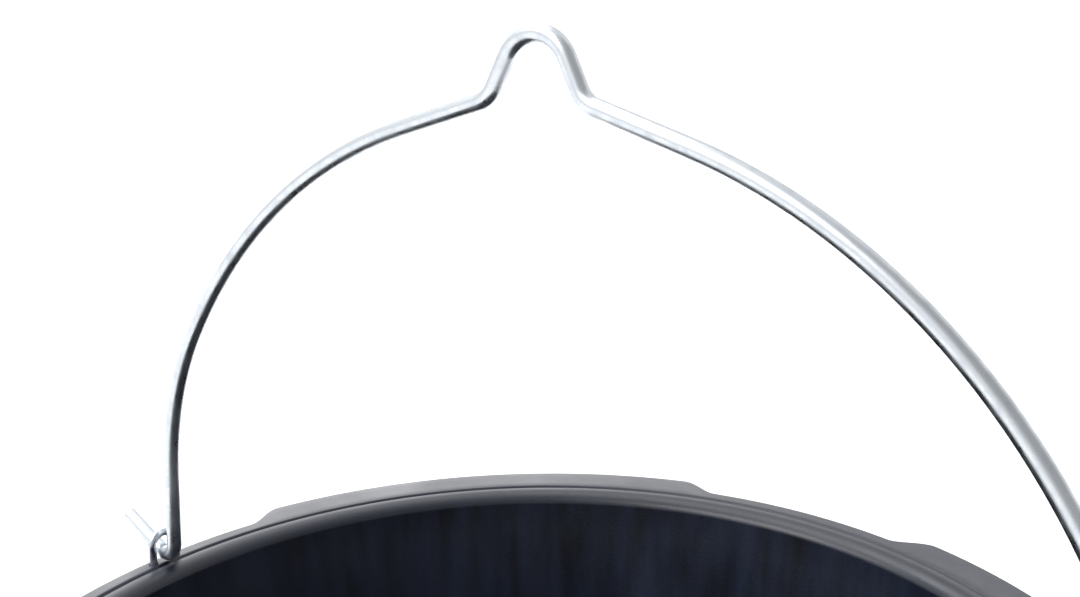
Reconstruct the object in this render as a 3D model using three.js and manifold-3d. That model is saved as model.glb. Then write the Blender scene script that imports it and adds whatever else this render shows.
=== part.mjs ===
// Builder's tub: one round plastic moulding with four grip lobes on its rim flange,
// and a bent wire bail hooked through two staples that are clinched through the flange.
// Millimetres, +Z up, origin at the centre of the base. The bail swings about the X direction.

import * as THREE from "three";
import { mergeVertices } from "three/addons/utils/BufferGeometryUtils.js";
import Module from "manifold-3d";

const wasm = await Module();
wasm.setup();

const rad = THREE.MathUtils.degToRad;

// Tub shell
const flangeTop = 288;
const baseRadius = 140;
const baseThickness = 3.5;
const wallThickness = 3;
const baseEdgeRadius = 8;
const floorEdgeRadius = 12;
const flangeThickness = 3.5;
const gussetHeight = 5;
const turnSegments = 96;

// Rim: a rounded bead, a fine groove, then the flat flange
const grooveRadius = 192;
const beadWidth = 9.8;
const beadHeight = 0.4;
const beadDrop = 5;
const grooveWidth = 2.2;
const grooveDepth = 1;
const flangeWidth = 7.8;
const lobeReach = 9.8;
const lobeStart = 13;
const lobeEnd = 77.7;
const lobeShoulder = 5;
const outlineStep = 3;
const shoulderSteps = 6;
const joinOverlap = 3;
const quarterTurn = 90;

// Wire bail, bent in one plane
const wireDiameter = 6;
const wireSides = 12;
const bailLean = 4.2;
const shoulderArcRadius = 119.8;
const mainArcBulge = 11.4;
const mainArcDrop = 1.4;
const flatStart = 16.3;
const humpRise = 23;
const humpRadius = 13.2;
const humpSideAngle = 27.6;
const humpFootRadius = 9.4;
const hookRadius = 5.4;
const hookArmAngle = 24.5;
const hookArmLength = 25.6;
const hookClearance = 0.8;

// Staples
const stapleWire = 3.5;
const stapleSides = 10;
const stapleSideGap = 0.75;
const stapleHeadroom = 4;
const stapleHoleGap = 0.3;
const holeSides = 16;
const clinchGap = 0.6;
const clinchLength = 9;
const bendAllowance = 0.75;

// Colours and finishes
const plasticFinish = { color: 0x33363d, roughness: 0.5, metalness: 0 };
const wireFinish = { color: 0xc9ced3, roughness: 0.3, metalness: 1 };

const flangeBottom = flangeTop - flangeThickness;
const flangeRadius = grooveRadius + flangeWidth;
const lobeRadius = flangeRadius + lobeReach;
const wireRadius = wireDiameter / 2;
const stapleRadius = stapleWire / 2;

// The staple stands in the middle of the narrow flange and straddles the wire.
const stapleReach = grooveRadius + flangeWidth / 2;
const staplePitch = wireDiameter + stapleWire + 2 * stapleSideGap;
const stapleCrown = hookClearance + wireDiameter + stapleHeadroom + stapleWire;

// The wire passes the staple where the hook's bend ends and its arm begins,
// and the bail turns about the height of the wire there.
const hookArm = rad(hookArmAngle);
const hookBottom = flangeTop + hookClearance + wireRadius;
const hookBottomReach = stapleReach - hookRadius * Math.sin(hookArm);
const legReach = hookBottomReach - hookRadius;
const hingeHeight = hookBottom + hookRadius * (1 - Math.cos(hookArm));

// The arch is a little wider than its legs, and the hump stands above it.
const mainArcRadius = legReach + mainArcBulge;
const humpTop = mainArcRadius - mainArcDrop + humpRise;

// A list of stations along a bent wire, each with its place and direction, in a plane (a, b).
class WireRoute {
  constructor(start, heading) {
    this.place = start.clone();
    this.heading = heading;
    this.stations = [];
    this.mark();
  }

  direction() {
    return new THREE.Vector2(Math.cos(this.heading), Math.sin(this.heading));
  }

  mark() {
    this.stations.push({ place: this.place.clone(), direction: this.direction() });
  }

  line(length, count = 1) {
    for (let i = 0; i < count; i += 1) {
      this.place.addScaledVector(this.direction(), length / count);
      this.mark();
    }
    return this;
  }

  // A positive turn bends to the left of the heading.
  arc(radius, turn, count) {
    const side = Math.sign(turn);
    const left = new THREE.Vector2(-Math.sin(this.heading), Math.cos(this.heading));
    const centre = this.place.clone().addScaledVector(left, side * radius);
    const first = this.heading;
    for (let i = 1; i <= count; i += 1) {
      this.heading = first + (turn * i) / count;
      const out = new THREE.Vector2(Math.sin(this.heading), -Math.cos(this.heading));
      this.place = centre.clone().addScaledVector(out, side * radius);
      this.mark();
    }
    return this;
  }
}

// The route as a curve whose even parameter steps fall on the stations.
class StationCurve extends THREE.Curve {
  constructor(stations, toSpace) {
    super();
    this.stations = stations;
    this.toSpace = toSpace;
  }

  at(key, t) {
    const s = t * (this.stations.length - 1);
    const i = Math.min(Math.floor(s), this.stations.length - 2);
    const a = this.stations[i][key];
    const b = this.stations[i + 1][key];
    return this.toSpace(a.clone().lerp(b, s - i));
  }

  getPoint(t, target = new THREE.Vector3()) {
    return target.copy(this.at("place", t));
  }

  getPointAt(t, target = new THREE.Vector3()) {
    return this.getPoint(t, target);
  }

  getTangent(t, target = new THREE.Vector3()) {
    return target.copy(this.at("direction", t)).normalize();
  }

  getTangentAt(t, target = new THREE.Vector3()) {
    return this.getTangent(t, target);
  }
}

function sweepWire(route, radius, sides, toSpace) {
  const section = new THREE.Shape();
  for (let i = 0; i < sides; i += 1) {
    const angle = (2 * Math.PI * i) / sides;
    const x = radius * Math.cos(angle);
    const y = radius * Math.sin(angle);
    if (i === 0) section.moveTo(x, y);
    else section.lineTo(x, y);
  }
  section.closePath();
  return new THREE.ExtrudeGeometry(section, {
    steps: route.stations.length - 1,
    extrudePath: new StationCurve(route.stations, toSpace),
    bevelEnabled: false,
  });
}

function toSolid(geometry) {
  const bare = geometry.clone();
  bare.deleteAttribute("normal");
  bare.deleteAttribute("uv");
  const merged = mergeVertices(bare, 1e-4);
  const mesh = new wasm.Mesh({
    numProp: 3,
    vertProperties: new Float32Array(merged.attributes.position.array),
    triVerts: new Uint32Array(merged.index.array),
  });
  mesh.merge();
  return new wasm.Manifold(mesh);
}

function fromSolid(solid) {
  const mesh = solid.getMesh();
  const geometry = new THREE.BufferGeometry();
  geometry.setAttribute("position", new THREE.BufferAttribute(new Float32Array(mesh.vertProperties), 3));
  geometry.setIndex(new THREE.BufferAttribute(new Uint32Array(mesh.triVerts), 1));
  geometry.computeVertexNormals();
  return geometry;
}

// Points of an arc in the (radius, height) plane of the turned profile.
function arcPoints(centreR, centreZ, radiusR, radiusZ, fromDeg, toDeg, count) {
  return Array.from({ length: count + 1 }, (_, i) => {
    const angle = rad(fromDeg + ((toDeg - fromDeg) * i) / count);
    return new THREE.Vector2(centreR + radiusR * Math.cos(angle), centreZ + radiusZ * Math.sin(angle));
  });
}

// Shell, bead, groove and the inner part of the flange, turned about the axis.
function turnedShell() {
  const beadMiddle = grooveRadius - beadWidth / 2;
  const innerTop = grooveRadius - beadWidth;
  const outerTop = innerTop + wallThickness;
  const wallTop = flangeBottom - gussetHeight;
  const beadFoot = flangeTop - beadDrop;
  const slope = (outerTop - baseRadius) / wallTop;
  const taper = Math.atan(slope);
  const taperDeg = THREE.MathUtils.radToDeg(taper);
  const flangeInside = flangeRadius - joinOverlap;

  // Each edge arc touches its wall's sloping line and the flat base or floor.
  const baseArcZ = baseEdgeRadius;
  const baseArcR = baseRadius + baseArcZ * slope - baseEdgeRadius / Math.cos(taper);
  const floorArcZ = baseThickness + floorEdgeRadius;
  const floorArcR = innerTop - (beadFoot - floorArcZ) * slope - floorEdgeRadius / Math.cos(taper);

  const profile = [
    new THREE.Vector2(0, 0),
    ...arcPoints(baseArcR, baseArcZ, baseEdgeRadius, baseEdgeRadius, -90, -taperDeg, 5),
    new THREE.Vector2(outerTop, wallTop),
    new THREE.Vector2(outerTop + gussetHeight, flangeBottom),
    new THREE.Vector2(flangeInside, flangeBottom),
    new THREE.Vector2(flangeInside, flangeTop),
    new THREE.Vector2(grooveRadius + grooveWidth / 2, flangeTop),
    new THREE.Vector2(grooveRadius, flangeTop - grooveDepth),
    ...arcPoints(beadMiddle, flangeTop, beadWidth / 2 - grooveWidth / 2, beadHeight, 0, 90, 5),
    ...arcPoints(beadMiddle, beadFoot, beadWidth / 2, beadDrop + beadHeight, 90, 180, 7).slice(1),
    ...arcPoints(floorArcR, floorArcZ, floorEdgeRadius, floorEdgeRadius, -taperDeg, -90, 5),
    new THREE.Vector2(0, baseThickness),
  ];
  const lathe = new THREE.LatheGeometry(profile, turnSegments);
  lathe.rotateX(Math.PI / 2);
  return toSolid(lathe);
}

// Height of the lobe step at an angle from its start, 0 on the narrow flange and 1 on the lobe.
function lobeShare(angle) {
  const halfTurn = 2 * quarterTurn;
  const within = angle % halfTurn;
  const folded = within > quarterTurn ? halfTurn - within : within;
  const rise = THREE.MathUtils.smoothstep(folded, lobeStart, lobeStart + lobeShoulder);
  const fall = THREE.MathUtils.smoothstep(folded, lobeEnd - lobeShoulder, lobeEnd);
  return rise - fall;
}

// Angles in the first quarter, fine on the shoulders and coarse between them.
function quarterAngles() {
  const marks = [0, lobeStart, lobeStart + lobeShoulder, lobeEnd - lobeShoulder, lobeEnd, quarterTurn];
  const angles = [];
  for (let i = 0; i < marks.length - 1; i += 1) {
    const span = marks[i + 1] - marks[i];
    const onShoulder = i === 1 || i === 3;
    const count = onShoulder ? shoulderSteps : Math.max(1, Math.round(span / outlineStep));
    for (let k = 0; k < count; k += 1) angles.push(marks[i] + (span * k) / count);
  }
  return angles;
}

// The flange's lobed outer edge, a flat ring that joins the turned shell.
function lobedFlange() {
  const quarter = quarterAngles();
  const halfTurn = 2 * quarterTurn;
  const half = [...quarter, quarterTurn, ...quarter.slice(1).reverse().map((a) => halfTurn - a)];
  const full = [...half, ...half.map((a) => a + halfTurn)];
  const outline = full.map((angle) => {
    const radius = flangeRadius + (lobeRadius - flangeRadius) * lobeShare(angle);
    return new THREE.Vector2(radius * Math.cos(rad(angle)), radius * Math.sin(rad(angle)));
  });
  const shape = new THREE.Shape(outline);
  const hole = new THREE.Path();
  hole.absarc(0, 0, flangeRadius - 2 * joinOverlap, 0, 2 * Math.PI, true);
  shape.holes.push(hole);
  const ring = new THREE.ExtrudeGeometry(shape, {
    depth: flangeThickness,
    bevelEnabled: false,
    curveSegments: turnSegments / 2,
  });
  ring.translate(0, 0, flangeBottom);
  return toSolid(ring);
}

function stapleHole(x, y) {
  const radius = stapleRadius + stapleHoleGap;
  const hole = new THREE.CylinderGeometry(radius, radius, 3 * flangeThickness, holeSides);
  hole.rotateX(Math.PI / 2);
  hole.translate(x, y, flangeTop - flangeThickness / 2);
  return toSolid(hole);
}

function tubBody() {
  let body = turnedShell().add(lobedFlange());
  for (const side of [-1, 1]) {
    for (const leg of [-1, 1]) {
      body = body.subtract(stapleHole(side * stapleReach, (leg * staplePitch) / 2));
    }
  }
  return fromSolid(body);
}

// Half of the bail, worked out from its tangent arcs: heights are above the flange.
function bailGeometry() {
  const side = rad(humpSideAngle);
  const flat = rad(flatStart);
  const mainCentre = -mainArcDrop;
  const footTurn = Math.PI / 2 - side - flat;

  // The shoulder arc touches the vertical leg and the inside of the main arc.
  const shoulderX = legReach - shoulderArcRadius;
  const shoulderZ = mainCentre + Math.sqrt((mainArcRadius - shoulderArcRadius) ** 2 - shoulderX ** 2);
  const joinAngle = Math.atan2(shoulderX, shoulderZ - mainCentre);

  // The straight flat runs from the main arc to the foot of the hump.
  const flatX = mainArcRadius * Math.sin(flat);
  const flatZ = mainCentre + mainArcRadius * Math.cos(flat);
  const slopeX = humpRadius * Math.cos(side);
  const slopeZ = humpTop - humpRadius + humpRadius * Math.sin(side);
  const slopeLength = (slopeZ - flatZ + Math.tan(flat) * (slopeX - flatX))
    / (Math.cos(side) - Math.tan(flat) * Math.sin(side));
  const cornerX = slopeX + slopeLength * Math.sin(side);
  const footTangent = humpFootRadius * Math.tan(footTurn / 2);
  const flatLength = (flatX - cornerX) / Math.cos(flat) - footTangent;

  return {
    side,
    flat,
    footTurn,
    shoulderZ,
    joinAngle,
    flatLength,
    slopeLength: slopeLength - footTangent,
  };
}

function bail() {
  const g = bailGeometry();
  const legLength = g.shoulderZ + flangeTop - (hookBottom + hookRadius);
  const start = new THREE.Vector2(
    -(stapleReach + hookArmLength * Math.cos(hookArm)),
    hookArmLength * Math.sin(hookArm),
  );
  const route = new WireRoute(start, -hookArm);
  const turns = Math.PI / 2;
  route.line(hookArmLength)
    .arc(hookRadius, hookArm + turns, 10)
    .line(legLength)
    .arc(shoulderArcRadius, -(turns - g.joinAngle), 8)
    .arc(mainArcRadius, -(g.joinAngle - g.flat), 8)
    .line(g.flatLength)
    .arc(humpFootRadius, g.footTurn, 5)
    .line(g.slopeLength)
    .arc(humpRadius, -2 * (turns - g.side), 12)
    .line(g.slopeLength)
    .arc(humpFootRadius, g.footTurn, 5)
    .line(g.flatLength)
    .arc(mainArcRadius, -(g.joinAngle - g.flat), 8)
    .arc(shoulderArcRadius, -(turns - g.joinAngle), 8)
    .line(legLength)
    .arc(hookRadius, hookArm + turns, 10)
    .line(hookArmLength);
  return sweepWire(route, wireRadius, wireSides, (p) => new THREE.Vector3(p.x, 0, p.y));
}

// One staple in its own plane, standing on the flange: heights are above the flange.
function staple() {
  const half = staplePitch / 2;
  const bend = stapleRadius + bendAllowance;
  const clinchLevel = -flangeThickness - clinchGap - stapleRadius;
  const crownCentre = stapleCrown - stapleRadius - half;
  const legLength = crownCentre - clinchLevel - bend;
  const route = new WireRoute(new THREE.Vector2(-half - bend - clinchLength, clinchLevel), 0);
  route.line(clinchLength)
    .arc(bend, Math.PI / 2, 5)
    .line(legLength)
    .arc(half, -Math.PI, 12)
    .line(legLength)
    .arc(bend, Math.PI / 2, 5)
    .line(clinchLength);
  return sweepWire(route, stapleRadius, stapleSides, (p) => new THREE.Vector3(0, p.x, p.y));
}

function namedMesh(name, geometry, finish) {
  const mesh = new THREE.Mesh(geometry, new THREE.MeshStandardMaterial(finish));
  mesh.name = name;
  return mesh;
}

const group = new THREE.Group();
group.add(namedMesh("tub_body", tubBody(), plasticFinish));

for (const [name, side] of [["eyelet_left", -1], ["eyelet_right", 1]]) {
  const eyelet = namedMesh(name, staple(), wireFinish);
  eyelet.position.set(side * stapleReach, 0, flangeTop);
  group.add(eyelet);
}

const bailMesh = namedMesh("bail", bail(), wireFinish);
bailMesh.position.set(0, 0, hingeHeight);
bailMesh.rotation.x = -rad(bailLean);
group.add(bailMesh);

export default group;
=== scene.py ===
"""Builder's tub: looks for one black moulded tub with a humped wire bail in two staples.

The tub stands on its base with the bail upright, leaning slightly back. All sizes are
written in millimetres and turned to metres where a mesh is made.
"""

from __future__ import annotations

import logging
import math
from collections.abc import Callable
from dataclasses import dataclass, field
from enum import Enum

import bpy
from mathutils import Matrix, Vector

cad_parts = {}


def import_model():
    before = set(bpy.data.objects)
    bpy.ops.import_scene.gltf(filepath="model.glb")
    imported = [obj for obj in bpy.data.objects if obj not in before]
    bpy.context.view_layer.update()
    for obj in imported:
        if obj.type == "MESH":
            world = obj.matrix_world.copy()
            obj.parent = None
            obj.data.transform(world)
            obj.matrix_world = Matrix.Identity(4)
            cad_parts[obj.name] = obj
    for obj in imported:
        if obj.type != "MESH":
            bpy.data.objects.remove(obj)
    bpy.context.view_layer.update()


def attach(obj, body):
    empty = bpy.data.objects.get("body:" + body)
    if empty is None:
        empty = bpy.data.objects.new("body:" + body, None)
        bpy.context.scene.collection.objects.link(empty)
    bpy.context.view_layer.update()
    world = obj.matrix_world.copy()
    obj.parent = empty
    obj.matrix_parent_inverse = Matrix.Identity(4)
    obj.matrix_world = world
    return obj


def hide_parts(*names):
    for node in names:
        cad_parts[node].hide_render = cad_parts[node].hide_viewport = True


LOG = logging.getLogger("builders_tub")
MM = 0.001
FULL_TURN = 2 * math.pi
PHOTO_WIDTH = 1080
SENSOR_WIDTH = 36.0
SHARP_DEG = 40.0
NOISE_ROUGHNESS = 0.55

Triple = tuple[float, float, float]
Pair = tuple[float, float]


class Part(Enum):
    """The object's separate physical pieces, by their node names."""

    TUB = "tub_body"
    BAIL = "bail"
    LEFT_STAPLE = "eyelet_left"
    RIGHT_STAPLE = "eyelet_right"


class Body(Enum):
    """The bodies that the pieces ride on."""

    TUB = "tub"
    BAIL = "bail"


def linear(hex_colour: str) -> tuple[float, float, float, float]:
    """Turns an sRGB hex colour to Blender's linear RGBA.

    Args:
        hex_colour: six hex digits, with or without a leading hash.

    Returns:
        The linear red, green and blue, with an alpha of 1.
    """
    digits = hex_colour.lstrip("#")
    channels = [int(digits[i : i + 2], 16) / 255 for i in (0, 2, 4)]
    values = [c / 12.92 if c <= 0.04045 else ((c + 0.055) / 1.055) ** 2.4 for c in channels]
    return (values[0], values[1], values[2], 1.0)


def add_node(
    tree: bpy.types.NodeTree,
    kind: str,
    inputs: dict[str | int, object] | None = None,
    links: dict[str | int, bpy.types.NodeSocket] | None = None,
    **settings: object,
) -> bpy.types.Node:
    """Adds one node with its settings, socket values and incoming links.

    Args:
        tree: the node tree that takes the node.
        kind: the node's Blender type name.
        inputs: values for input sockets, by name or index.
        links: output sockets to join to input sockets, by name or index.
        **settings: properties of the node itself.

    Returns:
        The new node.
    """
    node = tree.nodes.new(kind)
    for name, value in settings.items():
        setattr(node, name, value)
    for key, value in (inputs or {}).items():
        node.inputs[key].default_value = value
    for key, source in (links or {}).items():
        tree.links.new(source, node.inputs[key])
    return node


def ramp(
    tree: bpy.types.NodeTree,
    source: bpy.types.NodeSocket,
    stops: list[Pair],
) -> bpy.types.NodeSocket:
    """Maps a value through a grey ramp.

    Args:
        tree: the node tree that takes the ramp.
        source: the socket to map.
        stops: positions with their grey values, in rising order.

    Returns:
        The ramp's colour output.
    """
    node = add_node(tree, "ShaderNodeValToRGB", links={"Fac": source})
    elements = node.color_ramp.elements
    while len(elements) < len(stops):
        elements.new(0.5)
    for element, (position, grey) in zip(elements, stops):
        element.position = position
        element.color = (grey, grey, grey, 1.0)
    return node.outputs["Color"]


def new_material(name: str) -> tuple[bpy.types.Material, bpy.types.NodeTree, bpy.types.Node]:
    """Makes a node material that holds only a Principled shader and its output.

    Args:
        name: the material's name.

    Returns:
        The material, its node tree and its Principled shader.
    """
    material = bpy.data.materials.new(name)
    material.use_nodes = True
    tree = material.node_tree
    tree.nodes.clear()
    shader = add_node(tree, "ShaderNodeBsdfPrincipled")
    add_node(tree, "ShaderNodeOutputMaterial", links={"Surface": shader.outputs["BSDF"]})
    return material, tree, shader


def stretched_noise(
    tree: bpy.types.NodeTree,
    place: bpy.types.NodeSocket,
    cell_mm: Triple,
    detail: float = 2.0,
) -> bpy.types.NodeSocket:
    """Makes noise whose blotches have a real size along each axis.

    Args:
        tree: the node tree that takes the nodes.
        place: the coordinates, in metres.
        cell_mm: the blotch size along X, Y and Z, in millimetres.
        detail: the noise's own detail.

    Returns:
        The noise value's socket.
    """
    scale = tuple(1 / (size * MM) for size in cell_mm)
    mapped = add_node(tree, "ShaderNodeMapping", {"Scale": scale}, {"Vector": place})
    noise = add_node(
        tree,
        "ShaderNodeTexNoise",
        {"Scale": 1.0, "Detail": detail, "Roughness": NOISE_ROUGHNESS},
        {"Vector": mapped.outputs["Vector"]},
    )
    return noise.outputs["Fac"]


@dataclass(frozen=True)
class BlackPolyethylene:
    """Recycled black polyethylene, injection moulded: soft satin, a little grey on top faces.

    The waxy plastic gives a broad dull sheen. Melt that flowed down the mould's core leaves
    faint upright streaks inside the tub, which hardly show outside. Faces that look up are
    painted a lighter grey in patches: painted light for the sheen that the flange's top catches
    from above.
    """

    name: str = "black_polyethylene_moulded"
    deep: str = "#090c15"
    streak: str = "#20283c"
    # Lighter grey painted on faces that look up: painted light for the sheen they catch from above.
    painted_top_grey: str = "#4a4c53"
    roughness: float = 0.35
    smoother: float = 0.06
    rougher: float = 0.08
    ior: float = 1.51
    streak_mm: Triple = (11.0, 11.0, 130.0)
    cloud_mm: Triple = (45.0, 45.0, 110.0)
    cloud_share: float = 0.35
    cloud_range: Pair = (0.3, 0.7)
    streak_range: Pair = (0.36, 0.68)
    # The mould's grain is really about a quarter of this, and is drawn coarser so that it shows.
    grain_mm: float = 0.9
    grain_depth: float = 0.00006
    # Size and strength of the patches in that painted top light.
    top_patch_mm: float = 6.0
    top_patch_cover: float = 0.7
    streak_depth: float = 0.0004
    # Faces that look at the axis from further out than this, in metres, have full streaks.
    core_depth: float = 0.08
    outside_streaks: float = 0.2
    plain_share: float = 0.4
    # The normal's height where the painted top light starts and where it is full, and its share
    # there.
    painted_top_range: Pair = (0.985, 0.9995)
    painted_top_cover: float = 0.85

    def build(self) -> bpy.types.Material:
        """Makes the material.

        Returns:
            The plastic's material.
        """
        material, tree, shader = new_material(self.name)
        geometry = add_node(tree, "ShaderNodeNewGeometry")
        place = add_node(tree, "ShaderNodeTexCoord").outputs["Object"]

        streaks = stretched_noise(tree, place, self.streak_mm, detail=3.0)
        clouds = stretched_noise(tree, place, self.cloud_mm)
        flow = add_node(
            tree,
            "ShaderNodeMix",
            {0: self.cloud_share},
            {2: streaks, 3: clouds},
            data_type="FLOAT",
        ).outputs[0]
        # The normal points towards the axis on the side that the mould's core made.
        outward = add_node(
            tree,
            "ShaderNodeVectorMath",
            links={0: geometry.outputs["Normal"], 1: place},
            operation="DOT_PRODUCT",
        ).outputs["Value"]
        core_side = add_node(
            tree,
            "ShaderNodeMapRange",
            {
                "From Min": -self.core_depth,
                "From Max": 0.0,
                "To Min": 1.0,
                "To Max": self.outside_streaks,
            },
            {"Value": outward},
        ).outputs["Result"]
        faint, full = self.streak_range
        streaky = ramp(tree, flow, [(faint, 0.0), (full, 1.0)])
        share = add_node(
            tree,
            "ShaderNodeMix",
            {2: self.plain_share},
            {0: core_side, 3: streaky},
            data_type="FLOAT",
        ).outputs[0]
        body = add_node(
            tree,
            "ShaderNodeMix",
            {6: linear(self.deep), 7: linear(self.streak)},
            {0: share},
            data_type="RGBA",
        ).outputs[2]

        # Painted light: faces that look up are mixed towards a lighter grey, in patches, for the
        # sheen and light that the flange's top catches from above.
        upward = add_node(
            tree, "ShaderNodeSeparateXYZ", links={0: geometry.outputs["Normal"]}
        ).outputs["Z"]
        top_patches = stretched_noise(tree, place, (self.top_patch_mm,) * 3, detail=4.0)
        tilted, level = self.painted_top_range
        top = ramp(tree, upward, [(tilted, 0.0), (level, self.painted_top_cover)])
        cloudless, cloudy = self.cloud_range
        patchy = ramp(tree, top_patches, [(cloudless, self.top_patch_cover), (cloudy, 1.0)])
        painted_top_light = add_node(
            tree, "ShaderNodeMath", links={0: top, 1: patchy}, operation="MULTIPLY"
        ).outputs["Value"]
        colour = add_node(
            tree,
            "ShaderNodeMix",
            {7: linear(self.painted_top_grey)},
            {0: painted_top_light, 6: body},
            data_type="RGBA",
        ).outputs[2]
        tree.links.new(colour, shader.inputs["Base Color"])

        smooth, rough = self.roughness - self.smoother, self.roughness + self.rougher
        sheen = ramp(tree, clouds, [(cloudless, smooth), (cloudy, rough)])
        tree.links.new(sheen, shader.inputs["Roughness"])
        shader.inputs["IOR"].default_value = self.ior

        grain = stretched_noise(tree, place, (self.grain_mm,) * 3)
        waves = add_node(
            tree,
            "ShaderNodeBump",
            {"Distance": self.streak_depth},
            {"Height": flow, "Strength": core_side},
        )
        fine = add_node(
            tree,
            "ShaderNodeBump",
            {"Strength": 1.0, "Distance": self.grain_depth},
            {"Height": grain, "Normal": waves.outputs["Normal"]},
        )
        tree.links.new(fine.outputs["Normal"], shader.inputs["Normal"])
        return material


@dataclass(frozen=True)
class ZincCoatedWire:
    """Cold-drawn steel wire with a bright zinc coat: a cool white mirror, slightly brushed.

    The drawing die leaves hair lines along the wire, which stretch its reflections
    lengthwise, and the thin zinc is a little cloudy between them.
    """

    name: str = "zinc_coated_steel_drawn"
    bright: str = "#d3d8dd"
    cloudy: str = "#b7bec6"
    roughness: float = 0.29
    smoother: float = 0.05
    rougher: float = 0.09
    # The die's hair lines are really under 0.1 mm apart, and are drawn coarser so that they show.
    line_mm: float = 0.5
    line_length_mm: float = 60.0
    line_depth: float = 0.00003
    cloud_mm: float = 5.0
    colour_range: Pair = (0.38, 0.72)
    cloud_cover: float = 0.7
    rough_range: Pair = (0.3, 0.7)

    def build(self) -> bpy.types.Material:
        """Makes the material. It reads the wire's UV map: metres along, and metres around.

        Returns:
            The wire's material.
        """
        material, tree, shader = new_material(self.name)
        along = add_node(tree, "ShaderNodeUVMap", uv_map="wire").outputs["UV"]
        place = add_node(tree, "ShaderNodeTexCoord").outputs["Object"]
        lines = stretched_noise(tree, along, (self.line_length_mm, self.line_mm, 1.0), detail=3.0)
        clouds = stretched_noise(tree, place, (self.cloud_mm,) * 3, detail=3.0)
        clear, dull = self.colour_range
        share = ramp(tree, clouds, [(clear, 0.0), (dull, self.cloud_cover)])
        colour = add_node(
            tree,
            "ShaderNodeMix",
            {6: linear(self.bright), 7: linear(self.cloudy)},
            {0: share},
            data_type="RGBA",
        ).outputs[2]
        tree.links.new(colour, shader.inputs["Base Color"])
        low, high = self.rough_range
        smooth, rough = self.roughness - self.smoother, self.roughness + self.rougher
        sheen = ramp(tree, clouds, [(low, smooth), (high, rough)])
        tree.links.new(sheen, shader.inputs["Roughness"])
        shader.inputs["Metallic"].default_value = 1.0
        bump = add_node(
            tree,
            "ShaderNodeBump",
            {"Strength": 1.0, "Distance": self.line_depth},
            {"Height": lines},
        )
        tree.links.new(bump.outputs["Normal"], shader.inputs["Normal"])
        return material


def mesh_object(
    name: str,
    points: list[Triple],
    faces: list[tuple[int, ...]],
    material: bpy.types.Material,
) -> bpy.types.Object:
    """Makes a smooth-shaded mesh object from points in millimetres, with its corners kept sharp.

    Args:
        name: the object's name.
        points: the vertices, in millimetres.
        faces: the faces, as vertex numbers.
        material: the finish of every face.

    Returns:
        The linked object.
    """
    mesh = bpy.data.meshes.new(name)
    mesh.from_pydata([tuple(c * MM for c in p) for p in points], [], faces)
    mesh.materials.append(material)
    mesh.shade_smooth()
    mesh.set_sharp_from_angle(angle=math.radians(SHARP_DEG))
    mesh.update()
    obj = bpy.data.objects.new(name, mesh)
    bpy.context.scene.collection.objects.link(obj)
    return obj


@dataclass
class WireRoute:
    """A bent wire's centreline in one plane, as places and headings along tangent bends."""

    place: Vector
    heading: float
    stations: list[tuple[Vector, float]] = field(default_factory=list)

    def __post_init__(self) -> None:
        """Marks the start."""
        self.mark()

    def mark(self) -> None:
        """Keeps the present place and heading as a station."""
        self.stations.append((self.place.copy(), self.heading))

    def line(self, length: float, step: float = 6.0) -> WireRoute:
        """Goes straight on.

        Args:
            length: the distance, in millimetres.
            step: the longest distance between stations.

        Returns:
            The route itself.
        """
        count = max(1, math.ceil(length / step))
        ahead = Vector((math.cos(self.heading), math.sin(self.heading)))
        for _ in range(count):
            self.place = self.place + ahead * (length / count)
            self.mark()
        return self

    def arc(self, radius: float, turn: float, step: float = 0.07) -> WireRoute:
        """Bends at a steady radius, to the left where the turn is positive.

        Args:
            radius: the centreline's radius, in millimetres.
            turn: the change of heading, in radians.
            step: the largest turn between stations.

        Returns:
            The route itself.
        """
        count = max(2, math.ceil(abs(turn) / step))
        side = math.copysign(radius, turn)
        left = Vector((-math.sin(self.heading), math.cos(self.heading)))
        centre = self.place + left * side
        first = self.heading
        for i in range(1, count + 1):
            self.heading = first + turn * i / count
            self.place = centre + Vector((math.sin(self.heading), -math.cos(self.heading))) * side
            self.mark()
        return self


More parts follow.
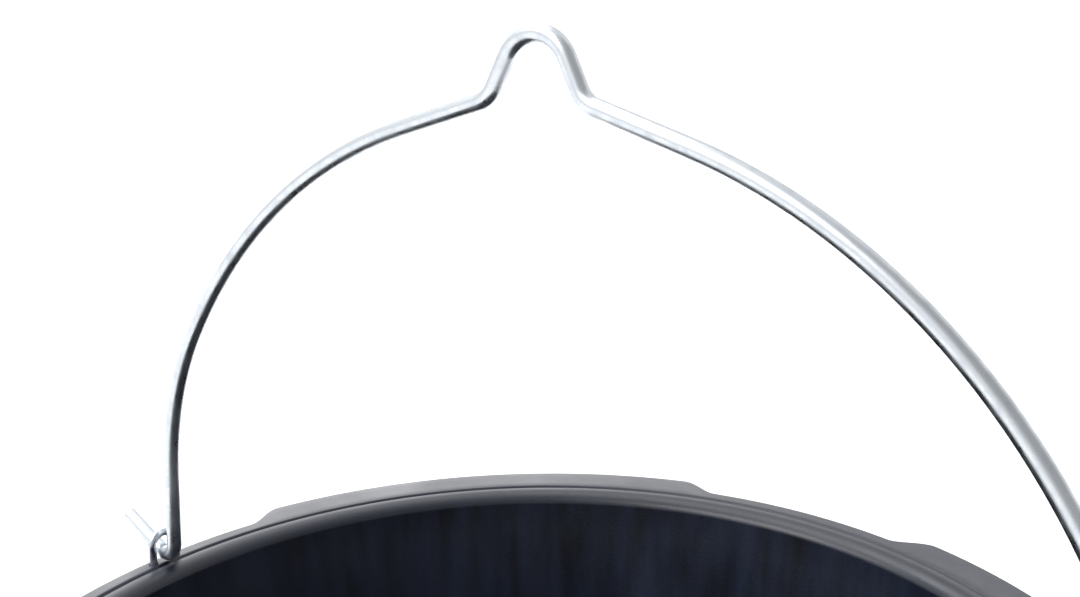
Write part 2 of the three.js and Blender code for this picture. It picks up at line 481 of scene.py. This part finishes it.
@dataclass
class RoundWire:
    """A round wire swept along a planar route, with ends as a shear leaves them."""

    name: str
    radius: float
    route: WireRoute
    to_space: Callable[[Vector], Vector]
    sides: int = 32
    end_round: float = 0.35
    end_steps: int = 4

    def rings(self) -> list[tuple[Vector, float, float]]:
        """The stations, with smaller rings at both ends where the cut edge is rounded.

        Returns:
            Place, heading and radius of each ring, from end to end.
        """
        first_place, first_heading = self.route.stations[0]
        last_place, last_heading = self.route.stations[-1]
        ahead = Vector((math.cos(first_heading), math.sin(first_heading)))
        behind = Vector((math.cos(last_heading), math.sin(last_heading)))
        start = []
        finish = []
        for k in range(self.end_steps):
            angle = math.pi / 2 * k / self.end_steps
            inset = self.end_round * (1 - math.sin(angle))
            thin = self.end_round * (1 - math.cos(math.pi / 2 - angle))
            along = self.end_round - inset
            start.append((first_place + ahead * along, first_heading, self.radius - thin))
            finish.append((last_place - behind * along, last_heading, self.radius - thin))
        middle = [(p, h, self.radius) for p, h in self.route.stations[1:-1]]
        return start + middle + finish[::-1]

    def build(self, material: bpy.types.Material) -> bpy.types.Object:
        """Sweeps the wire, closes its ends and gives it a UV map in metres.

        Args:
            material: the wire's finish.

        Returns:
            The wire's object.
        """
        rings = self.rings()
        origin = self.to_space(Vector((0, 0)))
        first = self.to_space(Vector((1, 0))) - origin
        second = self.to_space(Vector((0, 1))) - origin
        across = first.cross(second)
        points: list[Triple] = []
        travel = [0.0]
        for k, (place, heading, radius) in enumerate(rings):
            if k:
                travel.append(travel[-1] + (place - rings[k - 1][0]).length)
            middle = self.to_space(place)
            left = Vector((-math.sin(heading), math.cos(heading)))
            outward = self.to_space(place + left) - middle
            for i in range(self.sides):
                angle = FULL_TURN * i / self.sides
                spot = middle + outward * (radius * math.cos(angle))
                points.append(tuple(spot + across * (radius * math.sin(angle))))
        faces: list[tuple[int, ...]] = []
        for k in range(len(rings) - 1):
            for i in range(self.sides):
                j = (i + 1) % self.sides
                low = k * self.sides
                high = low + self.sides
                faces.append((low + i, low + j, high + j, high + i))
        last = (len(rings) - 1) * self.sides
        faces.append(tuple(reversed(range(self.sides))))
        faces.append(tuple(last + i for i in range(self.sides)))
        obj = mesh_object(self.name, points, faces, material)
        self.map_wire(obj.data, travel)
        return obj

    def map_wire(self, mesh: bpy.types.Mesh, travel: list[float]) -> None:
        """Writes the UV map: metres along the wire, and metres around it.

        Args:
            mesh: the swept mesh.
            travel: each ring's distance from the start, in millimetres.
        """
        layer = mesh.uv_layers.new(name="wire")
        around = FULL_TURN * self.radius / self.sides
        for face in mesh.polygons:
            numbers = [mesh.loops[k].vertex_index % self.sides for k in face.loop_indices]
            wraps = len(numbers) == 4 and max(numbers) == self.sides - 1 and min(numbers) == 0
            for k, number in zip(face.loop_indices, numbers):
                ring = mesh.loops[k].vertex_index // self.sides
                step = self.sides if wraps and number == 0 else number
                layer.data[k].uv = (travel[ring] * MM, step * around * MM)


# The groove's section, from the flange inwards: shares of half its width and of its depth.
GROOVE_SHAPE = ((1.25, 0.0), (0.85, 0.12), (0.45, 0.62), (0.15, 0.92), (-0.15, 0.95), (-0.6, 0.75))


@dataclass
class TubShell:
    """The tub: one moulding with a tapered wall, a rounded lip and a flange with four lobes."""

    flange_top: float = 288.0
    base_radius: float = 140.0
    base_thickness: float = 3.5
    wall: float = 3.0
    base_edge: float = 8.0
    floor_edge: float = 12.0
    flange_thickness: float = 3.5
    gusset: float = 5.0
    groove_radius: float = 192.0
    lip_width: float = 9.8
    lip_power: float = 2.0
    lip_drop: float = 5.0
    lip_below_flange: float = 0.25
    lip_steps: int = 24
    groove_width: float = 2.2
    groove_depth: float = 1.0
    flange_width: float = 7.8
    lobe_reach: float = 9.65
    lobe_start: float = 13.0
    lobe_end: float = 77.7
    lobe_shoulder: float = 5.0
    top_round: float = 1.3
    under_round: float = 0.7
    column_step: float = 1.0
    shoulder_step: float = 0.25
    edge_steps: int = 8
    gusset_steps: int = 6
    top_edge_steps: int = 6
    under_edge_steps: int = 3
    disc_rows: int = 5
    outer_rows: int = 16
    inner_rows: int = 24
    under_rows: int = 3
    flange_rows: int = 4
    hole_radius: float = 2.05
    hole_sides: int = 24
    staple_pitch: float = 11.0

    @property
    def flange_radius(self) -> float:
        """The narrow flange's outer radius."""
        return self.groove_radius + self.flange_width

    @property
    def staple_reach(self) -> float:
        """How far out the staples stand, in the middle of the narrow flange."""
        return self.groove_radius + self.flange_width / 2

    def lobe_share(self, angle: float) -> float:
        """How far the outline has risen from the narrow flange to a lobe.

        Args:
            angle: the direction from +X, in degrees.

        Returns:
            0 on the narrow flange, 1 on a lobe, with a smooth step between.
        """
        within = angle % 180
        folded = 180 - within if within > 90 else within

        def step(low: float) -> float:
            """A smooth step over one shoulder."""
            t = min(1.0, max(0.0, (folded - low) / self.lobe_shoulder))
            return t * t * (3 - 2 * t)

        return step(self.lobe_start) - step(self.lobe_end - self.lobe_shoulder)

    def columns(self) -> list[float]:
        """The directions of the mesh columns, finer on the lobes' shoulders.

        Returns:
            Angles in degrees, all the way round.
        """
        marks = [
            (0.0, self.column_step),
            (self.lobe_start, self.shoulder_step),
            (self.lobe_start + self.lobe_shoulder, self.column_step),
            (self.lobe_end - self.lobe_shoulder, self.shoulder_step),
            (self.lobe_end, self.column_step),
            (90.0, 0.0),
        ]
        quarter: list[float] = []
        for (low, step), (high, _) in zip(marks, marks[1:]):
            count = round((high - low) / step)
            quarter += [low + (high - low) * k / count for k in range(count)]
        half = quarter + [90.0] + [180 - a for a in reversed(quarter[1:])]
        return half + [a + 180 for a in half]

    def profile(self, share: float) -> list[Pair]:
        """The section from the middle of the underside round to the middle of the floor.

        Args:
            share: how far the flange has risen to a lobe here.

        Returns:
            Radius and height pairs, the first and last on the axis.
        """
        top = self.flange_top
        under = top - self.flange_thickness
        wall_top = under - self.gusset
        inner = self.groove_radius - self.lip_width
        outer = inner + self.wall
        foot = top - self.lip_drop
        slope = (outer - self.base_radius) / wall_top
        taper = math.atan(slope)
        edge = self.flange_radius + self.lobe_reach * share
        base_z = self.base_edge
        base_r = self.base_radius + base_z * slope - self.base_edge / math.cos(taper)
        floor_z = self.base_thickness + self.floor_edge
        floor_r = inner - (foot - floor_z) * slope - self.floor_edge / math.cos(taper)

        def arc(r: float, z: float, size: float, first: float, last: float, n: int) -> list[Pair]:
            """Points of an arc of a radius, between two directions in degrees."""
            turn = [math.radians(first + (last - first) * k / n) for k in range(n + 1)]
            return [(r + size * math.cos(t), z + size * math.sin(t)) for t in turn]

        def run(start: Pair, end: Pair, n: int) -> list[Pair]:
            """Points between two ends, with neither end."""
            return [
                (start[0] + (end[0] - start[0]) * k / n, start[1] + (end[1] - start[1]) * k / n)
                for k in range(1, n)
            ]

        slant = math.degrees(taper)
        low, high = self.under_round, self.top_round
        base_arc = arc(base_r, base_z, self.base_edge, -90, -slant, self.edge_steps)
        floor_arc = arc(floor_r, floor_z, self.floor_edge, -slant, -90, self.edge_steps)
        gusset_arc = arc(outer + self.gusset, wall_top, self.gusset, 180, 90, self.gusset_steps)
        low_edge = arc(edge - low, under + low, low, -90, 0, self.under_edge_steps)
        high_edge = arc(edge - high, top - high, high, 0, 90, self.top_edge_steps)
        half = self.groove_width / 2
        groove = [
            (self.groove_radius + half * across, top - self.groove_depth * down)
            for across, down in GROOVE_SHAPE
        ]
        lip_width = self.lip_width - half
        lip_rise = self.lip_drop - self.lip_below_flange
        turns = [math.pi / 2 * k / self.lip_steps for k in range(self.lip_steps)]
        rolled = [
            (
                inner + lip_width * (1 - math.sin(t) ** (2 / self.lip_power)),
                foot + lip_rise * math.cos(t) ** (2 / self.lip_power),
            )
            for t in turns
        ]
        rolled.append((inner, foot))
        return [
            (0.0, 0.0),
            *run((0.0, 0.0), base_arc[0], self.disc_rows),
            *base_arc,
            *run(base_arc[-1], gusset_arc[0], self.outer_rows),
            *gusset_arc,
            *run(gusset_arc[-1], low_edge[0], self.under_rows),
            *low_edge,
            *high_edge,
            *run(high_edge[-1], groove[0], self.flange_rows),
            *groove,
            *rolled,
            *run(rolled[-1], floor_arc[0], self.inner_rows),
            *floor_arc,
            *run(floor_arc[-1], (0.0, self.base_thickness), self.disc_rows),
            (0.0, self.base_thickness),
        ]

    def build(self, material: bpy.types.Material) -> bpy.types.Object:
        """Sweeps the section round the axis and pierces the flange for the staples.

        Args:
            material: the plastic.

        Returns:
            The tub's object.
        """
        columns = self.columns()
        sections = [self.profile(self.lobe_share(angle)) for angle in columns]
        rows = len(sections[0]) - 2
        points: list[Triple] = []
        for angle, section in zip(columns, sections):
            turn = math.radians(angle)
            points += [(r * math.cos(turn), r * math.sin(turn), z) for r, z in section[1:-1]]
        under_middle = len(points)
        floor_middle = under_middle + 1
        points += [(0.0, 0.0, 0.0), (0.0, 0.0, self.base_thickness)]
        faces: list[tuple[int, ...]] = []
        for c in range(len(columns)):
            here = c * rows
            there = (c + 1) % len(columns) * rows
            faces.append((under_middle, there, here))
            faces.append((floor_middle, here + rows - 1, there + rows - 1))
            faces += [(here + k, there + k, there + k + 1, here + k + 1) for k in range(rows - 1)]
        shell = mesh_object("tub_shell", points, faces, material)
        return self.pierce(shell)

    def pierce(self, shell: bpy.types.Object) -> bpy.types.Object:
        """Cuts the four holes that the staples' legs pass through.

        Args:
            shell: the whole shell.

        Returns:
            The shell with its holes.
        """
        drills = bpy.data.meshes.new("drills")
        points: list[Triple] = []
        faces: list[tuple[int, ...]] = []
        sides = self.hole_sides
        reach = 2 * self.flange_thickness
        for x in (-self.staple_reach, self.staple_reach):
            for y in (-self.staple_pitch / 2, self.staple_pitch / 2):
                first = len(points)
                for z in (self.flange_top - reach, self.flange_top + self.flange_thickness):
                    for i in range(sides):
                        turn = FULL_TURN * i / sides
                        aside = self.hole_radius * math.cos(turn)
                        ahead = self.hole_radius * math.sin(turn)
                        points.append(((x + aside) * MM, (y + ahead) * MM, z * MM))
                ring = [(first + i, first + (i + 1) % sides) for i in range(sides)]
                faces += [(a, b, b + sides, a + sides) for a, b in ring]
                faces.append(tuple(first + i for i in reversed(range(sides))))
                faces.append(tuple(first + sides + i for i in range(sides)))
        drills.from_pydata(points, [], faces)
        cutter = bpy.data.objects.new("drills", drills)
        bpy.context.scene.collection.objects.link(cutter)
        cut = shell.modifiers.new("staple_holes", "BOOLEAN")
        cut.object = cutter
        cut.operation = "DIFFERENCE"
        cut.solver = "EXACT"
        graph = bpy.context.evaluated_depsgraph_get()
        pierced = bpy.data.meshes.new_from_object(shell.evaluated_get(graph))
        shell.modifiers.clear()
        plain = shell.data
        shell.data = pierced
        bpy.data.meshes.remove(plain)
        bpy.data.objects.remove(cutter)
        bpy.data.meshes.remove(drills)
        pierced.shade_smooth()
        pierced.set_sharp_from_angle(angle=math.radians(SHARP_DEG))
        return shell


@dataclass
class Bail:
    """The bail: one wire bent in a plane, with a hump for a hoist hook and hooked ends."""

    tub: TubShell
    wire_diameter: float = 6.0
    lean_deg: float = 4.2
    shoulder_radius: float = 119.8
    main_bulge: float = 11.4
    main_drop: float = 1.4
    flat_start_deg: float = 16.3
    hump_rise: float = 23.0
    hump_radius: float = 13.2
    hump_side_deg: float = 27.6
    hump_foot: float = 9.4
    hook_radius: float = 5.4
    arm_deg: float = 24.5
    arm_length: float = 25.6
    hook_clearance: float = 0.8
    hook_step: float = 0.12
    shoulder_step: float = 0.04
    main_step: float = 0.03
    foot_step: float = 0.1
    hump_step: float = 0.08

    @property
    def wire_radius(self) -> float:
        """Half the wire's diameter."""
        return self.wire_diameter / 2

    @property
    def leg_reach(self) -> float:
        """How far out the upright legs stand."""
        arm = math.radians(self.arm_deg)
        return self.tub.staple_reach - self.hook_radius * (1 + math.sin(arm))

    @property
    def hook_bottom(self) -> float:
        """The height of the wire's centreline at the bottom of its hook."""
        return self.tub.flange_top + self.hook_clearance + self.wire_radius

    @property
    def hinge_height(self) -> float:
        """The height that the bail turns about."""
        return self.hook_bottom + self.hook_radius * (1 - math.cos(math.radians(self.arm_deg)))

    def route(self) -> WireRoute:
        """Bends the wire from one arm's tip to the other, in heights above the hinge.

        Returns:
            The centreline.
        """
        side = math.radians(self.hump_side_deg)
        flat = math.radians(self.flat_start_deg)
        arm = math.radians(self.arm_deg)
        right = math.pi / 2
        main = self.leg_reach + self.main_bulge
        top = main - self.main_drop + self.hump_rise
        foot_turn = right - side - flat

        shoulder_x = self.leg_reach - self.shoulder_radius
        shoulder_z = math.sqrt((main - self.shoulder_radius) ** 2 - shoulder_x**2) - self.main_drop
        join = math.atan2(shoulder_x, shoulder_z + self.main_drop)
        leg = shoulder_z + self.tub.flange_top - self.hook_bottom - self.hook_radius

        flat_x = main * math.sin(flat)
        flat_z = main * math.cos(flat) - self.main_drop
        slope_x = self.hump_radius * math.cos(side)
        slope_z = top - self.hump_radius * (1 - math.sin(side))
        drop = slope_z - flat_z + math.tan(flat) * (slope_x - flat_x)
        slope = drop / (math.cos(side) - math.tan(flat) * math.sin(side))
        corner_x = slope_x + slope * math.sin(side)
        tangent = self.hump_foot * math.tan(foot_turn / 2)
        flat_run = (flat_x - corner_x) / math.cos(flat) - tangent
        slope_run = slope - tangent

        tip = Vector((
            -(self.tub.staple_reach + self.arm_length * math.cos(arm)),
            self.arm_length * math.sin(arm),
        ))
        path = WireRoute(tip, -arm)
        path.line(self.arm_length).arc(self.hook_radius, arm + right, self.hook_step)
        path.line(leg).arc(self.shoulder_radius, join - right, self.shoulder_step)
        path.arc(main, flat - join, self.main_step).line(flat_run)
        path.arc(self.hump_foot, foot_turn, self.foot_step).line(slope_run)
        path.arc(self.hump_radius, -2 * (right - side), self.hump_step)
        path.line(slope_run).arc(self.hump_foot, foot_turn, self.foot_step)
        path.line(flat_run).arc(main, flat - join, self.main_step)
        path.arc(self.shoulder_radius, join - right, self.shoulder_step).line(leg)
        path.arc(self.hook_radius, arm + right, self.hook_step).line(self.arm_length)
        return path

    def to_space(self, spot: Vector) -> Vector:
        """Leans the bail's plane back about its hinge and sets it at its height.

        Args:
            spot: a place in the bail's own plane.

        Returns:
            The place in the tub's frame, in millimetres.
        """
        lean = math.radians(self.lean_deg)
        height = self.hinge_height + spot.y * math.cos(lean)
        return Vector((spot.x, spot.y * math.sin(lean), height))

    def build(self, material: bpy.types.Material) -> bpy.types.Object:
        """Makes the bail's object."""
        return RoundWire("bail_wire", self.wire_radius, self.route(), self.to_space).build(material)


@dataclass
class Staple:
    """A thin wire staple that stands on the flange and is clinched beneath it."""

    tub: TubShell
    bail: Bail
    side: int
    wire_diameter: float = 3.5
    headroom: float = 4.0
    clinch_gap: float = 0.6
    clinch_length: float = 9.0
    bend_allowance: float = 0.75
    line_step: float = 3.0
    bend_step: float = 0.2
    crown_step: float = 0.12
    wire_sides: int = 20
    end_round: float = 0.25

    def route(self) -> WireRoute:
        """Bends the staple in its own plane, in heights above the flange.

        Returns:
            The centreline.
        """
        radius = self.wire_diameter / 2
        half = self.tub.staple_pitch / 2
        bend = radius + self.bend_allowance
        level = -self.tub.flange_thickness - self.clinch_gap - radius
        inside = self.bail.hook_clearance + self.bail.wire_diameter + self.headroom
        leg = inside + radius - half - level - bend
        right = math.pi / 2
        path = WireRoute(Vector((-half - bend - self.clinch_length, level)), 0.0)
        path.line(self.clinch_length, self.line_step).arc(bend, right, self.bend_step)
        path.line(leg, self.line_step).arc(half, -math.pi, self.crown_step)
        path.line(leg, self.line_step).arc(bend, right, self.bend_step)
        path.line(self.clinch_length, self.line_step)
        return path

    def to_space(self, spot: Vector) -> Vector:
        """Stands the staple's plane across the flange."""
        return Vector((self.side * self.tub.staple_reach, spot.x, self.tub.flange_top + spot.y))

    def build(self, material: bpy.types.Material) -> bpy.types.Object:
        """Makes the staple's object.

        Args:
            material: the staple's finish.

        Returns:
            The staple's object.
        """
        wire = RoundWire(
            name="staple_right" if self.side > 0 else "staple_left",
            radius=self.wire_diameter / 2,
            route=self.route(),
            to_space=self.to_space,
            sides=self.wire_sides,
            end_round=self.end_round,
        )
        return wire.build(material)


@dataclass(frozen=True)
class PhotoCamera:
    """The photograph's camera, solved from the rim and the bail."""

    eye_mm: Triple = (244.2, -291.0, 527.04)
    yaw_deg: float = -38.64
    pitch_deg: float = 14.377
    roll_deg: float = 1.377
    focal_px: float = 1285.3
    nearest: float = 0.01
    farthest: float = 200.0

    def build(self) -> bpy.types.Object:
        """Makes the camera and sets it as the scene's.

        Returns:
            The camera's object.
        """
        yaw, pitch, roll = (math.radians(a) for a in (self.yaw_deg, self.pitch_deg, self.roll_deg))
        ahead = Vector((
            math.sin(yaw) * math.cos(pitch),
            math.cos(yaw) * math.cos(pitch),
            -math.sin(pitch),
        ))
        level = Vector((math.cos(yaw), -math.sin(yaw), 0.0))
        down = ahead.cross(level)
        right = level * math.cos(roll) + down * math.sin(roll)
        down = down * math.cos(roll) - level * math.sin(roll)
        data = bpy.data.cameras.new("photo_camera")
        data.sensor_width = SENSOR_WIDTH
        data.lens = self.focal_px / PHOTO_WIDTH * SENSOR_WIDTH
        data.clip_start = self.nearest
        data.clip_end = self.farthest
        camera = bpy.data.objects.new("photo_camera", data)
        bpy.context.scene.collection.objects.link(camera)
        turn = Matrix((right, -down, -ahead)).transposed().to_4x4()
        camera.matrix_world = Matrix.Translation(Vector(self.eye_mm) * MM) @ turn
        bpy.context.scene.camera = camera
        return camera


@dataclass(frozen=True)
class Studio:
    """A white floor, a weak soft sun and a sky with a dim side, a glow and one soft lamp."""

    floor_half: float = 60.0
    floor_colour: str = "#e9e9e9"
    floor_roughness: float = 0.9
    floor_lift: float = 0.3
    sun_strength: float = 2.1
    sun_angle_deg: float = 40.0
    sun_from: Triple = (-0.45, -0.75, 0.9)
    sky_strength: float = 0.8
    dim_share: float = 0.52
    dim_from: Triple = (0.85, -0.2, 0.48)
    dim_range: Pair = (0.45, 0.85)
    glow_strength: float = 2.3
    glow_from: Triple = (-0.85, 0.49, 0.18)
    glow_range: Pair = (0.82, 0.94)
    lamp_strength: float = 4.0
    lamp_from: Triple = (-0.5, 0.2, 0.84)
    lamp_range: Pair = (0.945, 0.99)

    def world(self) -> None:
        """Makes the sky: plain white to the camera, uneven to all other rays.

        Those see a dim side, a glow and a lamp. Reflections see the same white around them, so
        that the wire shows the background too.
        """
        world = bpy.data.worlds.new("studio_sky")
        bpy.context.scene.world = world
        world.use_nodes = True
        tree = world.node_tree
        tree.nodes.clear()
        toward = add_node(tree, "ShaderNodeTexCoord").outputs["Generated"]

        def patch(side: Triple, edges: Pair) -> bpy.types.NodeSocket:
            """Makes a soft round patch of sky.

            Args:
                side: the direction of the patch's middle.
                edges: the cosines of the angles where the patch ends, and where it is full.

            Returns:
                The patch's share: 0 away from the side given, 1 in its middle.
            """
            facing = add_node(
                tree,
                "ShaderNodeVectorMath",
                {1: tuple(Vector(side).normalized())},
                {0: toward},
                operation="DOT_PRODUCT",
            ).outputs["Value"]
            shaped = add_node(
                tree,
                "ShaderNodeMapRange",
                {"From Min": edges[0], "From Max": edges[1]},
                {"Value": facing},
                interpolation_type="SMOOTHSTEP",
            )
            return shaped.outputs["Result"]

        rays = add_node(tree, "ShaderNodeLightPath")
        room = add_node(
            tree,
            "ShaderNodeMix",
            {2: self.sky_strength, 3: 1.0},
            {0: rays.outputs["Is Glossy Ray"]},
            data_type="FLOAT",
        ).outputs[0]
        shade = add_node(
            tree,
            "ShaderNodeMath",
            {1: -self.dim_share, 2: 1.0},
            {0: patch(self.dim_from, self.dim_range)},
            operation="MULTIPLY_ADD",
        ).outputs["Value"]
        plain = add_node(
            tree, "ShaderNodeMath", links={0: room, 1: shade}, operation="MULTIPLY"
        ).outputs["Value"]
        glowing = add_node(
            tree,
            "ShaderNodeMath",
            {1: self.glow_strength},
            {0: patch(self.glow_from, self.glow_range), 2: plain},
            operation="MULTIPLY_ADD",
        ).outputs["Value"]
        level = add_node(
            tree,
            "ShaderNodeMath",
            {1: self.lamp_strength},
            {0: patch(self.lamp_from, self.lamp_range), 2: glowing},
            operation="MULTIPLY_ADD",
        ).outputs["Value"]
        seen = add_node(
            tree,
            "ShaderNodeMix",
            {3: 1.0},
            {0: rays.outputs["Is Camera Ray"], 2: level},
            data_type="FLOAT",
        ).outputs[0]
        sky = add_node(tree, "ShaderNodeBackground", {"Color": (1, 1, 1, 1)}, {"Strength": seen})
        add_node(tree, "ShaderNodeOutputWorld", links={"Surface": sky.outputs["Background"]})

    def floor(self) -> bpy.types.Object:
        """Makes the white floor, which keeps the tub's shadow.

        Returns:
            The floor's object.
        """
        material, tree, shader = new_material("white_floor")
        shader.inputs["Base Color"].default_value = linear(self.floor_colour)
        shader.inputs["Roughness"].default_value = self.floor_roughness
        shader.inputs["Emission Color"].default_value = (1, 1, 1, 1)
        rays = add_node(tree, "ShaderNodeLightPath")
        seen = add_node(
            tree,
            "ShaderNodeMath",
            links={0: rays.outputs["Is Camera Ray"], 1: rays.outputs["Is Glossy Ray"]},
            operation="MAXIMUM",
        ).outputs["Value"]
        lift = add_node(
            tree, "ShaderNodeMath", {1: self.floor_lift}, {0: seen}, operation="MULTIPLY"
        ).outputs["Value"]
        tree.links.new(lift, shader.inputs["Emission Strength"])
        half = self.floor_half
        mesh = bpy.data.meshes.new("floor")
        corners = [(-half, -half, 0), (half, -half, 0), (half, half, 0), (-half, half, 0)]
        mesh.from_pydata(corners, [], [(0, 1, 2, 3)])
        mesh.materials.append(material)
        obj = bpy.data.objects.new("floor", mesh)
        bpy.context.scene.collection.objects.link(obj)
        return obj

    def sun(self) -> bpy.types.Object:
        """Makes the broad soft sun.

        Returns:
            The lamp's object.
        """
        lamp = bpy.data.lights.new("soft_sun", "SUN")
        lamp.energy = self.sun_strength
        lamp.angle = math.radians(self.sun_angle_deg)
        obj = bpy.data.objects.new("soft_sun", lamp)
        obj.rotation_mode = "QUATERNION"
        obj.rotation_quaternion = Vector(self.sun_from).to_track_quat("Z", "Y")
        bpy.context.scene.collection.objects.link(obj)
        return obj

    def build(self) -> None:
        """Sets the sky, the floor, the sun and the plain view transform."""
        self.world()
        self.floor()
        self.sun()
        bpy.context.scene.view_settings.view_transform = "Standard"


def fit(obj: bpy.types.Object, body: Body, node: Part) -> None:
    """Puts a piece on its body in place of its plain solid.

    Args:
        obj: the piece.
        body: the body that it moves with.
        node: the plain solid that it stands for.
    """
    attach(obj, body.value)
    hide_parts(node.value)
    LOG.info("%s: %d faces, rides on %s", obj.name, len(obj.data.polygons), body.value)


def main() -> None:
    """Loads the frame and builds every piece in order."""
    logging.basicConfig(level=logging.INFO)
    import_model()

    PhotoCamera().build()
    Studio().build()
    plastic = BlackPolyethylene().build()
    bail_steel = ZincCoatedWire().build()
    staple_steel = ZincCoatedWire(name="zinc_coated_steel_thin", roughness=0.26).build()

    tub = TubShell()
    bail = Bail(tub)
    fit(tub.build(plastic), Body.TUB, Part.TUB)
    fit(bail.build(bail_steel), Body.BAIL, Part.BAIL)
    for node, side in ((Part.LEFT_STAPLE, -1), (Part.RIGHT_STAPLE, 1)):
        fit(Staple(tub, bail, side).build(staple_steel), Body.TUB, node)

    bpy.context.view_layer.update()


if __name__ == "__main__":
    main()
